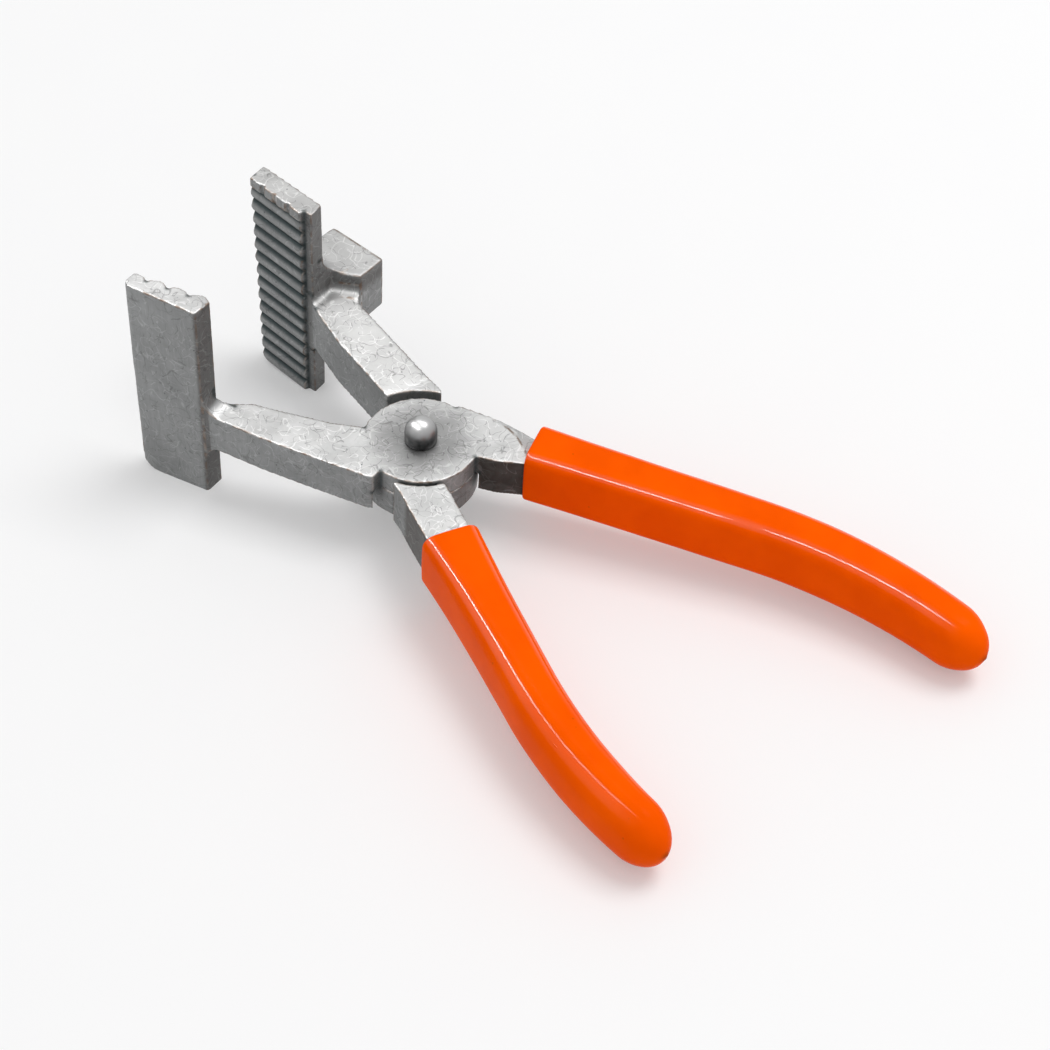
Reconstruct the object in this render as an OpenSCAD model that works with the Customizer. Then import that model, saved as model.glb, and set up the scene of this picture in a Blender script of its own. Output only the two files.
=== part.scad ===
// Leather stretching pliers: two one-piece levers half-lapped at a rivet, with a sleeve on each handle.
// Each lever is drawn with the jaws closed, its own jaw on the +Y side of the closing plane, then opened.
// The origin is on the pivot axis at the seat of the rivet's head, +Z up the axis and +X towards the jaws.

/* [Opening] */
// Angle that the levers are open, counted from closed
opening = 35; // [12:1:44]
// Gap left between the jaw tips when they are closed
closed_gap = 0.3; // [0.1:0.1:1]

/* [Joint] */
// Radius of the two half-lap discs
lap_r = 13.9; // [12.5:0.1:15]
// Radial gap between a disc and the scallop in the other lever's arm
scallop_gap = 2.4; // [1.5:0.1:3]
// Radial gap between a disc and the scallop in the other lever's tang
tang_gap = 0.9; // [0.6:0.1:1.4]
// Gap between the faces of the two half-laps
lap_gap = 0.1; // [0.05:0.05:0.4]
// Radius of the rivet's shank
rivet_r = 3; // [2:0.1:3.6]
// Radial clearance of the shank in both levers
rivet_clear = 0.05; // [0.01:0.01:0.1]
// Radius of the rivet's head
head_r = 3.9; // [3.7:0.1:6]
// Height of the straight wall of the rivet's head, under its dome
head_wall = 2.7; // [1:0.1:6]
// Radius of the peened end under the joint
peen_r = 5; // [4:0.1:8]
// Height of the peened end
peen_h = 2; // [1:0.1:3.5]

/* [Jaws] */
// Height of both jaw bars, along the pivot axis
jaw_h = 60; // [50:1:80]
// Top of the jaw bars above the rivet head's seat
jaw_top = 32; // [24:0.5:44]
// Distance from the pivot to the jaw tips
jaw_reach = 70; // [64:0.5:84]
// Depth of a jaw face, from its tip to its root
jaw_depth = 20.7; // [17:0.1:26]
// Angle by which each face leans in, so that the tips meet first
toe_in = 7; // [2:0.1:9]
// How far the ends of a bar lean forwards, towards its back
end_slant = 11; // [0:1:16]
// How much shorter a bar is at its foot than at its top, seen from the side
foot_taper = 1.7; // [0:0.1:3]
// Bevel at the foot of each tip
foot_bevel = 2.4; // [0.5:0.1:4]
// Thickness of the plain jaw at its tip
plain_tip_t = 4.7; // [4:0.1:7]
// Thickness of the plain jaw at its root
plain_root_t = 6.4; // [5.5:0.1:8]
// Radius of the plain jaw's outer tip corner
tip_round = 2.2; // [1.2:0.1:2.4]
// Thickness of the ridged jaw at its tip
ridged_tip_t = 5.5; // [4.5:0.1:7]
// Thickness of the ridged jaw at its root
ridged_root_t = 6; // [5:0.1:8]

/* [Jaw faces] */
// Number of upright ribs on the plain jaw's face
rib_count = 4; // [2:1:5]
// Distance between the crests of the ribs
rib_pitch = 5.5; // [4.6:0.1:6]
// Distance of the first crest from the root
rib_first = 2.9; // [2:0.1:4]
// Radius of a rib's crest
rib_r = 3.3; // [3:0.1:4]
// Depth of the flat behind the ribs
rib_depth = 2.2; // [1.8:0.1:3]
// Number of level ridges on the ridged jaw's face, below its lip
ridge_count = 14; // [8:1:16]
// Radius of a ridge's crest
ridge_r = 2.4; // [2.2:0.1:2.6]
// Depth of the plain band beside the ridges
band_depth = 1.5; // [1.3:0.1:2]
// Height of the lip above the ridges
lip_h = 2.6; // [1.5:0.1:5]
// Number of nicks in the lip's edge
nick_count = 3; // [0:1:5]
// Radius of the largest nick
nick_r = 0.7; // [0.4:0.1:1.1]
// Width of the plain band between the ridges and the root
band_w = 2.6; // [1:0.1:5]

/* [Upper lever] */
// Thickness of the lever with the plain jaw
upper_t = 11; // [9:0.5:14]
// Width of its arm where it meets the jaw
upper_arm_w = 6.1; // [5:0.1:8]
// Distance of its arm's inner face from the closing plane
upper_arm_in = 1.6; // [1:0.1:3]
// Radius of the fillets between its arm and its jaw
upper_fillet = 4.5; // [1:0.1:5.5]

/* [Lower lever] */
// Thickness of the lever with the ridged jaw
lower_t = 13; // [11:0.5:15]
// Distance of its arm's inner face from the closing plane
lower_arm_in = 2; // [1:0.1:3]
// Distance of its arm's outer face from the closing plane
lower_arm_out = 14; // [12:0.1:15]
// Rise of its arm's top face from the joint to the jaw
arm_rise = 4.3; // [0:0.1:6]
// Rise of its arm's bottom face from the joint to the jaw
arm_lift = 2.8; // [0:0.1:5]
// Radius of the fillets between its arm and its jaw
lower_fillet = 2; // [1:0.1:4]

/* [Hammer] */
// Width of the striking face
hammer_w = 17.2; // [14:0.1:19]
// Height of the striking face
hammer_h = 15; // [10:0.5:24]
// Distance of the striking face's centre from the closing plane
hammer_out = 23; // [20:0.1:28]
// Distance of the striking face's centre behind the jaw tips
hammer_back = 13.6; // [12:0.1:15]
// Angle of the striking face to the closing plane
hammer_tilt = 10; // [0:1:14]
// Bevel around the striking face
hammer_bevel = 0.8; // [0.3:0.1:2]
// Radius of the fillets from the hammer's top and bottom to the bar
hammer_fillet = 6; // [2:0.5:7]
// Radius of the fillet from the arm's top up to the hammer
hammer_sweep = 2.5; // [2:0.5:5]

/* [Handles] */
// Width of both tangs where they enter the sleeves
tang_w = 10.6; // [9:0.1:11]
// Width of both tangs where their bends begin
tang_end_w = 8.8; // [7:0.1:9]
// Distance of the upper sleeve's mouth behind the pivot
upper_mouth_back = 26; // [25:0.1:28]
// Distance of the upper tang's middle from the closing plane at the mouth
upper_mouth_out = 5.7; // [5.5:0.1:6.5]
// Angle at which the upper tang turns in towards the closing plane
upper_heading = 4.8; // [3:0.1:6]
// Distance of the lower sleeve's mouth behind the pivot
lower_mouth_back = 28.3; // [27.5:0.1:30]
// Distance of the lower tang's middle from the closing plane at the mouth
lower_mouth_out = 12.9; // [12:0.1:13.5]
// Angle at which the lower tang turns away from the closing plane
lower_spread = 13.8; // [12:0.1:15]
// Straight length of the upper handle inside its sleeve
upper_straight = 55; // [40:1:70]
// Radius of the upper handle's inward bend
upper_bend_r = 130; // [90:5:180]
// Angle of the upper handle's inward bend
upper_bend = 23; // [10:0.5:26]
// Straight length of the lower handle inside its sleeve
lower_straight = 44; // [40:1:60]
// Radius of the lower handle's inward bend
lower_bend_r = 130; // [90:5:180]
// Angle of the lower handle's inward bend
lower_bend = 18; // [10:0.5:22]

/* [Sleeves] */
// Width of the upper sleeve
upper_sleeve_w = 12.5; // [12.4:0.1:15]
// Width of the lower sleeve
lower_sleeve_w = 12.4; // [12.2:0.1:15]
// Wall of the upper sleeve above and below its tang
upper_wall = 2.6; // [2.2:0.1:4]
// Wall of the lower sleeve above and below its tang
lower_wall = 2; // [1.9:0.1:4]
// Height of both sleeves' middle over the tang's at the mouth
sleeve_lift = 0.9; // [0:0.1:1]
// Angle at which the upper sleeve hangs down towards its end
upper_droop = 0.8; // [0:0.1:1]
// Angle at which the lower sleeve hangs down towards its end
lower_droop = 1.5; // [0:0.1:1.6]
// Corner radius of both sleeves
sleeve_corner = 3; // [1.5:0.1:4.5]
// Solid end of a sleeve past its tang, up to where its nose begins
sleeve_end = 22; // [10:1:30]
// Length of the rounded nose of a sleeve
nose_l = 9; // [8.7:0.1:12]
// Clearance between a tang and its sleeve
sleeve_clear = 0.05; // [0.02:0.01:0.15]

/* [Hidden] */
$fn = 96;
lap_z = -upper_t / 2;
bore_r = rivet_r + rivet_clear;
jaw_z = jaw_top - jaw_h;
jaw_mid = jaw_top - jaw_h / 2;
root = [jaw_reach - jaw_depth * cos(toe_in), closed_gap / 2 + jaw_depth * sin(toe_in)];
ridge_pitch = (jaw_h - lip_h) / ridge_count;
// Where each tang's centre line enters its sleeve
upper_mouth = [-upper_mouth_back, -upper_mouth_out];
lower_mouth = [-lower_mouth_back, -lower_mouth_out];
lower_heading = -lower_spread;
// How far the pieces of a swept handle run into each other, and the step between their sections
seam_lap = 2;
seam_step = 0.03;
// A margin that carries cuts past the faces they open
past = 1;

// Moves a drawing from a bar's own frame, X from root to tip and Y from face to back, to the lever
module on_jaw() {
    translate([root.x, root.y, 0]) rotate([0, 0, -toe_in]) children();
}

// Turns a drawing in X and height into a slab between two values of Y
module slab(y_low, y_high) {
    translate([0, y_high, 0]) rotate([90, 0, 0]) linear_extrude(y_high - y_low) children();
}

// Opens a lever by half the opening; side 1 has its jaw on the +Y side and side -1 is mirrored
module opened(side) {
    rotate([0, 0, side * opening / 2]) mirror([0, side < 0 ? 1 : 0, 0]) children();
}

// Plan of a jaw bar from a given depth behind its face
module bar_plan(depth, tip_t, root_t) {
    lean = tan(end_slant);
    polygon([[depth * lean, depth], [jaw_depth + depth * lean, depth],
             [jaw_depth + tip_t * lean, tip_t], [root_t * lean, root_t]]);
}

// Plan of the plain jaw bar, with its outer tip corner rounded; the round stands a hair-wide step proud
module rounded_plan() {
    lean = tan(end_slant);
    tip = [jaw_depth + plain_tip_t * lean, plain_tip_t];
    root_end = [plain_root_t * lean, plain_root_t];
    inwards = -[sin(end_slant), cos(end_slant)];
    back = (root_end - tip) / norm(root_end - tip);
    half = acos(inwards * back) / 2;
    centre = tip + (inwards + back) / norm(inwards + back) * tip_round / sin(half);
    polygon([[0, 0], [jaw_depth, 0], tip + inwards * tip_round / tan(half), centre,
             tip + back * tip_round / tan(half), root_end]);
    translate(centre) circle(tip_round + seam_step / 3);
}

// Cuts the foot taper and the foot bevel from the tip of a bar
module tip_cuts() {
    reach = 2 * jaw_depth;
    translate([jaw_depth, 0, jaw_top]) rotate([0, 0, -end_slant]) {
        rotate([0, atan(foot_taper / jaw_h), 0])
            translate([0, -reach / 2, -2 * jaw_h]) cube([reach, reach, 3 * jaw_h]);
        translate([-foot_taper - foot_bevel - past, -reach / 2, -jaw_h - past])
            rotate([0, -45, 0]) translate([0, 0, -reach]) cube([reach, reach, reach]);
    }
}

// Bar with upright ribs
module plain_jaw() {
    on_jaw() difference() {
        translate([0, 0, jaw_z]) linear_extrude(jaw_h) intersection() {
            rounded_plan();
            union() {
                translate([-jaw_depth, rib_depth]) square([3 * jaw_depth, jaw_depth]);
                for (i = [0 : rib_count - 1]) translate([rib_first + i * rib_pitch, rib_r]) circle(rib_r);
            }
        }
        tip_cuts();
    }
}

// One level ridge along the face
module ridge(z) {
    translate([band_w, ridge_r, z]) rotate([0, 90, 0]) cylinder(r = ridge_r, h = jaw_depth - band_w);
}

// Bar with a lip and level ridges
module ridged_jaw() {
    on_jaw() difference() {
        union() {
            translate([0, 0, jaw_z]) linear_extrude(jaw_h) bar_plan(band_depth, ridged_tip_t, ridged_root_t);
            intersection() {
                union() for (i = [0 : ridge_count - 1]) ridge(jaw_z + (i + 0.5) * ridge_pitch);
                translate([0, -past, jaw_z]) cube([2 * jaw_depth, 2 * ridge_r, jaw_h - lip_h / 2]);
            }
            difference() {
                translate([band_w, 0, jaw_top - lip_h]) cube([jaw_depth - band_w, 2 * band_depth, lip_h]);
                for (i = [1 : 1 : nick_count])
                    translate([band_w + i * (jaw_depth - band_w) / (nick_count + 1), 0, jaw_top - lip_h - past])
                        cylinder(r = nick_r * (i % 2 == 0 ? 0.7 : 1), h = lip_h + 2 * past, $fn = 32);
            }
        }
        tip_cuts();
    }
}

// Concave fillet between a bar's root and an arm face at height z, above it (up = 1) or below it (up = -1)
module root_fillet(r, z, up, depth) {
    run = r + depth;
    on_jaw() translate([0, 0, z]) rotate([0, 0, -end_slant]) mirror([0, 0, up < 0 ? 1 : 0])
        slab(0, 2 * depth) difference() {
            translate([-r, -past]) square([run, r + past]);
            translate([-r, r]) circle(r);
        }
}

// Section of a sleeve, a rectangle with round corners
module round_rect(w, h, r) {
    square([w - 2 * r - 2 * $inset, h - 2 * $inset], center = true);
    square([w - 2 * $inset, h - 2 * r - 2 * $inset], center = true);
    for (x = [-1, 1], y = [-1, 1])
        translate([x * (w / 2 - $inset - r), y * (h / 2 - $inset - r)]) circle(r, $fn = 48);
}

// Extrudes a section along X, over a given length
module run_x(length) {
    rotate([90, 0, 90]) linear_extrude(length) children();
}

// Moves to the end of a handle's bend, with X along the handle
module after_bend(straight, bend_r, bend) {
    translate([straight, -bend_r, 0]) rotate([0, 0, -bend]) translate([0, bend_r, 0]) children();
}

// Sweeps a section round the first part of a handle's bend.
// It starts inside the straight, on a section smaller by the hair-wide step $inset.
module sweep_bend(straight, bend_r, bend) {
    lap = seam_lap / bend_r * 180 / PI;
    translate([straight, -bend_r, 0]) rotate([0, 0, 90 - bend])
        rotate_extrude(angle = bend + lap, $fn = 360) translate([bend_r, 0]) let ($inset = seam_step) children();
}

// Puts a drawing where a handle leaves its lever, with X along the handle and Z at mid thickness
module at_mouth(mouth, heading, thick) {
    translate([mouth.x, mouth.y, -thick / 2]) rotate([0, 0, 180 - heading]) children();
}

// Angle of a bend that the tang itself fills, so that the sleeve's end is solid
function tang_bend(bend_r, bend) = max(1, bend - sleeve_end / bend_r * 180 / PI);

// Bent end of a tang inside its sleeve; grow widens it for the sleeve's pocket
module tang_end(straight, bend_r, bend, thick, grow) {
    sweep_bend(straight, bend_r, tang_bend(bend_r, bend) + grow / bend_r * 180 / PI)
        square([tang_end_w + 2 * grow - 2 * $inset, thick + 2 * grow - 2 * $inset], center = true);
}

// Half width of a tang at a distance along its handle from the mouth
function tang_half(straight, along) = (tang_w - along * (tang_w - tang_end_w) / straight) / 2;

// Sleeve: round-cornered, bent with its handle and hanging a little, with a rounded nose and a pocket
module sleeve(straight, bend_r, bend, thick, wide, wall, droop) {
    h = thick + 2 * wall;
    ball = h / 2 + 1.2;
    difference() {
        translate([0, 0, sleeve_lift]) rotate([0, droop, 0]) union() {
            run_x(straight) let ($inset = 0) round_rect(wide, h, sleeve_corner);
            sweep_bend(straight, bend_r, bend) round_rect(wide, h, sleeve_corner);
            after_bend(straight, bend_r, bend) intersection() {
                translate([-seam_lap, 0, 0]) run_x(h) let ($inset = 2 * seam_step)
                    round_rect(wide, h, sleeve_corner);
                translate([0, 0, -h / 2]) linear_extrude(h) nose_plan(wide / 2);
                slab(-wide / 2, wide / 2) nose_plan(h / 2);
                translate([nose_l - ball, 0, 0]) sphere(ball);
            }
        }
        translate([0, 0, -thick / 2 - sleeve_clear]) linear_extrude(thick + 2 * sleeve_clear)
            polygon([for (end = [[-past, 1], [straight, 1], [straight, -1], [-past, -1]])
                [end[0], end[1] * (tang_half(straight, end[0]) + sleeve_clear)]]);
        tang_end(straight, bend_r, bend, thick, sleeve_clear);
    }
}

// Outline of a nose that ends in a half circle of the given radius
module nose_plan(r) {
    translate([nose_l - r, 0]) circle(r);
    translate([-2 * seam_lap, -r]) square([2 * seam_lap + nose_l - r, 2 * r]);
}

// Scallop over a disc: wide on the side of the other lever's arm, close on the side of its tang
module scallop(height) {
    linear_extrude(height) {
        circle(lap_r + tang_gap);
        intersection() {
            circle(lap_r + scallop_gap);
            translate([0, -2 * lap_r]) square([2 * lap_r, 4 * lap_r]);
        }
    }
}

// Point on a tang's inner (1) or outer (-1) edge, at a distance along the handle from its mouth
function tang_edge(mouth, heading, half, along, side) =
    mouth + side * half * [sin(heading), cos(heading)] + along * [-cos(heading), sin(heading)];

// Corners of the straight part of a tang, from the mouth's inner edge round to its outer edge
function tang_corners(mouth, heading, straight) = [
    for (end = [[0, 1], [straight, 1], [straight, -1], [0, -1]])
        tang_edge(mouth, heading, tang_half(straight, end[0]), end[0], end[1])
];

// Plan of the upper lever's arm, from the disc to the jaw
module upper_arm_plan() {
    polygon([[0, 0], [lap_r, upper_arm_in - 1.2], [22, upper_arm_in], [root.x - 8, upper_arm_in + 0.2],
             [root.x + 1, root.y + rib_depth], [root.x + 2, root.y + upper_arm_w],
             [root.x - 3, root.y + upper_arm_w + 1], [35, 12], [20, 14], [8, 15.4], [6.6, 15],
             [6, lap_r - 0.8], [2, 8]]);
}

// Plan of the upper lever's tang, from the disc to the start of its bend
module upper_tang_plan() {
    polygon([[0, 0], [-4, 8], [2 - lap_r, 6], [2.1 - lap_r, 3.2], [1.2 - lap_r, 1.4], [-15, 0.9], [-19, 0.9],
             each tang_corners(upper_mouth, upper_heading, upper_straight),
             [-16, -12.4], [-8, -13.4], [-5, -13.8], [-4, -12.3]]);
}

// Bevel that ends the ground flat on the upper lever's tang in an arc
module tang_bevel() {
    flat_r = 19.9;
    drop = 27;
    difference() {
        translate([-30, -20, -upper_t / 2]) cube([18, 20, upper_t]);
        translate([-7.8, 6.5, -upper_t]) cylinder(r1 = flat_r + upper_t / tan(drop), r2 = flat_r, h = upper_t);
    }
}

module upper_lever() {
    color([0.62, 0.62, 0.61]) opened(1) {
        difference() {
            union() {
                translate([0, 0, lap_z + lap_gap / 2]) cylinder(r = lap_r, h = -lap_z - lap_gap / 2);
                difference() {
                    translate([0, 0, -upper_t]) linear_extrude(upper_t) {
                        upper_arm_plan();
                        upper_tang_plan();
                    }
                    translate([0, 0, lap_z + lap_gap / 2 - upper_t]) scallop(upper_t);
                    tang_bevel();
                }
                plain_jaw();
                intersection() {
                    union() {
                        root_fillet(upper_fillet, 0, 1, plain_root_t);
                        root_fillet(upper_fillet, -upper_t, -1, plain_root_t);
                    }
                    translate([0, 0, -2 * upper_t]) linear_extrude(3 * upper_t) upper_arm_plan();
                }
                at_mouth(upper_mouth, upper_heading, upper_t)
                    tang_end(upper_straight, upper_bend_r, upper_bend, upper_t, 0);
            }
            translate([0, 0, -upper_t]) cylinder(r = bore_r, h = 2 * upper_t);
        }
    }
}

// Plan of the lower lever's arm, from the disc to the jaw
module lower_arm_plan() {
    polygon([[0, 0], [lap_r, lower_arm_in], [36, lower_arm_in - 0.2], [43, lower_arm_in + 0.5],
             [root.x + band_w, root.y + 1.2], [root.x + jaw_depth / 3, root.y + ridged_root_t / 2],
             [root.x + jaw_depth / 3, root.y + ridged_root_t], hammer_nook(), hammer_heel(),
             [hammer_heel().x - 2, lower_arm_out - 0.5], [10.6, lower_arm_out + 0.1], [2, 8]]);
}

// Side view of the lower lever's arm, X and height: it rises towards the jaw
module lower_arm_side() {
    polygon([[0, -lower_t], [20, -lower_t], [root.x - 6, arm_lift - lower_t], [jaw_reach, arm_lift - lower_t],
             [jaw_reach, arm_rise], [root.x - 2, arm_rise], [15, 0], [0, 0]]);
}

// Plan of the lower lever's tang, from the disc to the start of its bend
module lower_tang_plan() {
    polygon([[0, 0], [-8, 6], [0.6 - lap_r, -2.5], [-0.4 - lap_r, -3.8], [-18, -4.6],
             each tang_corners(lower_mouth, lower_heading, lower_straight),
             [-17, -15.7], [-11, -14.1], [-7.6, -13.6]]);
}

// Moves a drawing from the hammer's own frame, centred on its striking face with Y outwards, to the lever
module on_hammer() {
    translate([jaw_reach - hammer_back, hammer_out, jaw_mid]) rotate([0, 0, -hammer_tilt]) children();
}

// Point of the lever that lies at [x, y] in the hammer's own frame
function from_hammer(x, y) = [
    jaw_reach - hammer_back + x * cos(hammer_tilt) + y * sin(hammer_tilt),
    hammer_out - x * sin(hammer_tilt) + y * cos(hammer_tilt)
];

// Where the hammer's side meets the slanted wall over the arm, and where that wall ends at the bar
function hammer_heel() = from_hammer(-hammer_w / 2 - 0.6, -9);
function hammer_nook() = from_hammer(5.9 - hammer_w / 2, -12.9);

// Plan of the hammer block, down into the bar
module hammer_plan() {
    depth = hammer_out - ridged_tip_t;
    polygon([[-hammer_w / 2, 0], [-hammer_w / 2 - 0.6, -9], [5.9 - hammer_w / 2, -12.9],
             [5.9 - hammer_w / 2, -depth], [hammer_w / 2, -depth], [hammer_w / 2, 0]]);
}

// Bevels around the hammer's striking face
module hammer_bevels() {
    on_hammer() for (a = [0 : 90 : 270]) rotate([0, a, 0])
        translate([(a % 180 == 0 ? hammer_w : hammer_h) / 2 - hammer_bevel, 0, -hammer_w])
            rotate([0, 0, -45]) cube([hammer_w, hammer_w, 2 * hammer_w]);
}

// Section of a concave fillet of radius r in the corner of the X and Y axes, reaching behind both by back
module fillet_section(r, back) {
    difference() {
        translate([-back, -back]) square([r + back, r + back]);
        translate([r, r]) circle(r);
    }
}

// Hammer block on the back of the ridged jaw, with fillets to the bar and up from the arm
module hammer() {
    heel = hammer_heel();
    nook = hammer_nook();
    wall = nook - heel;
    difference() {
        on_hammer() translate([0, 0, -hammer_h / 2]) linear_extrude(hammer_h) hammer_plan();
        hammer_bevels();
    }
    intersection() {
        on_hammer() translate([0, 0, -hammer_h]) linear_extrude(2 * hammer_h) hammer_plan();
        for (up = [-1, 1]) translate([0, 0, jaw_mid + up * hammer_h / 2]) mirror([0, 0, up < 0 ? 1 : 0])
            on_jaw() translate([-past, ridged_root_t - 0.3, 0]) rotate([90, 0, 90])
                linear_extrude(jaw_depth - 3) fillet_section(hammer_fillet, 1.5);
    }
    intersection() {
        translate([heel.x, heel.y, arm_rise]) rotate([0, 0, atan2(wall.y, wall.x)])
            translate([-hammer_w, 0.02, 0]) rotate([90, 0, 90]) mirror([1, 0, 0])
                linear_extrude(2 * hammer_w) fillet_section(hammer_sweep, 1);
        translate([0, 0, -lower_t]) linear_extrude(2 * lower_t) lower_arm_plan();
    }
}

module lower_lever() {
    color([0.58, 0.59, 0.58]) opened(-1) {
        difference() {
            union() {
                translate([0, 0, -lower_t]) cylinder(r = lap_r, h = lower_t + lap_z - lap_gap / 2);
                difference() {
                    union() {
                        intersection() {
                            translate([0, 0, -2 * lower_t]) linear_extrude(4 * lower_t) lower_arm_plan();
                            slab(-jaw_reach, jaw_reach) lower_arm_side();
                        }
                        translate([0, 0, -lower_t]) linear_extrude(lower_t) lower_tang_plan();
                    }
                    translate([0, 0, lap_z - lap_gap / 2]) scallop(lower_t);
                }
                ridged_jaw();
                intersection() {
                    union() {
                        root_fillet(lower_fillet, arm_rise, 1, ridged_root_t);
                        root_fillet(lower_fillet, arm_lift - lower_t, -1, ridged_root_t);
                    }
                    translate([0, 0, -2 * lower_t]) linear_extrude(4 * lower_t) lower_arm_plan();
                }
                hammer();
                at_mouth(lower_mouth, lower_heading, lower_t)
                    tang_end(lower_straight, lower_bend_r, lower_bend, lower_t, 0);
            }
            translate([0, 0, -2 * lower_t]) cylinder(r = bore_r, h = 3 * lower_t);
        }
    }
}

// Rivet: domed head proud of the upper lever, shank, and a low peened end under the lower lever
module rivet() {
    peen_ball = (peen_r * peen_r + peen_h * peen_h) / (2 * peen_h);
    color([0.45, 0.45, 0.46]) {
        cylinder(r = head_r, h = head_wall);
        translate([0, 0, head_wall]) intersection() {
            sphere(head_r);
            cylinder(r = head_r + past, h = head_r + past);
        }
        translate([0, 0, -lower_t - lap_gap - past]) cylinder(r = rivet_r, h = lower_t + lap_gap + 2 * past);
        translate([0, 0, -lower_t - lap_gap]) intersection() {
            translate([0, 0, peen_ball - peen_h]) sphere(peen_ball);
            translate([0, 0, -peen_h]) cylinder(r = peen_r + past, h = peen_h);
        }
    }
}

module upper_sleeve() {
    color([0.95, 0.3, 0.04]) opened(1) at_mouth(upper_mouth, upper_heading, upper_t)
        sleeve(upper_straight, upper_bend_r, upper_bend, upper_t, upper_sleeve_w, upper_wall, upper_droop);
}

module lower_sleeve() {
    color([0.95, 0.3, 0.04]) opened(-1) at_mouth(lower_mouth, lower_heading, lower_t)
        sleeve(lower_straight, lower_bend_r, lower_bend, lower_t, lower_sleeve_w, lower_wall, lower_droop);
}

upper_lever();
lower_lever();
rivet();
upper_sleeve();
lower_sleeve();
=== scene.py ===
"""Leather stretching pliers: ribbed and ridged steel jaws, a domed rivet and two dipped sleeves."""
import math

import bmesh
import bpy
from mathutils import Matrix, Vector, kdtree, noise


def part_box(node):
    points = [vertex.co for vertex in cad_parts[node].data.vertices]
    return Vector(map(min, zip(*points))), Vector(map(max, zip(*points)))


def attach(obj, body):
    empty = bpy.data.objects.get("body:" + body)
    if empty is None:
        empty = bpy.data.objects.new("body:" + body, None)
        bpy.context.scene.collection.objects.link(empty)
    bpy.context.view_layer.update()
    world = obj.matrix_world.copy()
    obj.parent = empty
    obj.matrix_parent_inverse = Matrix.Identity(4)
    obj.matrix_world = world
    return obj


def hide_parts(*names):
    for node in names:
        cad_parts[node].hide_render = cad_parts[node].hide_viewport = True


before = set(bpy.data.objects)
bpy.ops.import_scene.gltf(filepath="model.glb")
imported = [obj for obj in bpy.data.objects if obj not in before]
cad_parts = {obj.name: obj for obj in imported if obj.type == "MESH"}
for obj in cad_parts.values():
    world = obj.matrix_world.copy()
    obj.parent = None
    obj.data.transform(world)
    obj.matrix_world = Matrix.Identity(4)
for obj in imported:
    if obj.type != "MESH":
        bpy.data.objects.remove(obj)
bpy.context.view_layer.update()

bl_info = {
    "name": "Leather stretching pliers",
    "version": (1, 0, 0),
    "blender": (4, 5, 0),
    "location": "View3D > Sidebar > Pliers",
    "description": "Dresses the CAD model of the pliers in steel and plastic, on a white table",
    "category": "Object",
}

MM = 0.001

# The tool as the CAD draws it, in millimetres and degrees, with the jaws closed
OPENING = 35.0
LAP_R = 13.9
JAW_ROOT = (49.454, 2.673)
TOE_IN = 7.0
JAW_TOP, JAW_LOW, LIP = 32.0, -28.0, 2.6
RIDGE_PITCH = 4.1
TANG = (10.6, 8.8)
SOLID_END = 22.0
# Each sleeve's path, its width, height, lift, corner radius and roundness at even steps to the nose, and the
# shine that its corners keep in the nose's half
HANDLES = {
    "upper": {"side": 1, "mouth": (-26.0, -5.7), "heading": 4.8, "thick": 11.0, "straight": 55.3,
              "bend_r": 130.0, "bend": 23.0, "nose": 8.9, "wide": (13.1, 12.2, 12.0, 11.6),
              "high": (15.8, 16.1, 16.3, 16.0), "lift": (1.0, 0.5, 0.0, -0.6),
              "corner": (2.4, 2.7, 3.1, 3.6), "round": (0.08, 0.14, 0.24, 0.50), "shine": 0.8},
    "lower": {"side": -1, "mouth": (-28.3, -12.9), "heading": -13.8, "thick": 13.0, "straight": 44.2,
              "bend_r": 130.0, "bend": 18.0, "nose": 8.7, "wide": (14.2, 12.3, 12.3, 11.4),
              "high": (16.4, 17.0, 17.3, 17.4), "lift": (0.6, 0.3, -0.4, -1.0),
              "corner": (2.6, 3.1, 3.7, 4.3), "round": (0.10, 0.34, 0.50, 0.62), "shine": 0.4},
}
# A sleeve's turned-in lip in millimetres, the rings of its nose and the sides of its section
MOUTH_LIP = 0.7
NOSE_RINGS = 18
SLEEVE_SIDES = 72
# The shining band on a sleeve's corners, in degrees: the lean of its middle, and how far from there the
# shine begins to fade and ends
SHINE_LEAN, SHINE_FULL, SHINE_END = 54.0, 7.0, 14.0

# Layers of scratches in the steel, each with its size in millimetres, level, seed and turn in degrees
PALE_SCRATCHES = ((5.2, 0.50, 3.1, (0, 0, 20)), (4.1, 0.45, 11.7, (10, 0, 75)),
                  (6.3, 0.55, 17.3, (10, 0, 120)), (4.6, 0.52, 29.9, (10, 0, 160)))
DARK_SCRATCHES = ((4.8, 0.52, 23.9, (0, 0, 130)), (5.6, 0.47, 41.3, (0, 10, 50)),
                  (3.7, 0.54, 57.1, (0, 10, 95)), (4.3, 0.46, 71.3, (0, 10, 10)))
PALE_WIDTH, DARK_WIDTH = 0.017, 0.015

# The table passes under the feet of the jaws and the ends of the sleeves, in millimetres
TABLE_FOOT, TABLE_HEEL = Vector((64.0, 0.0, -28.0)), Vector((-128.0, 0.0, -15.6))
# The lamps, in metres; a mirrored one shows in reflections and gives no other light
LAMPS = {
    "overhead": {"place": (-0.40, -0.62, 2.0), "long_axis": (0.0, 1.0, 0.0), "size": (1.0, 1.0),
                 "mirrored_only": False},
    "strip": {"place": (0.42, 0.28, 0.75), "long_axis": (0.65, -0.29, -0.24), "size": (0.09, 1.15),
              "mirrored_only": True},
    "glow": {"place": (0.31, -0.28, 0.80), "long_axis": (0.95, 0.15, -0.30), "size": (0.12, 0.6),
             "mirrored_only": True},
}
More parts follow.
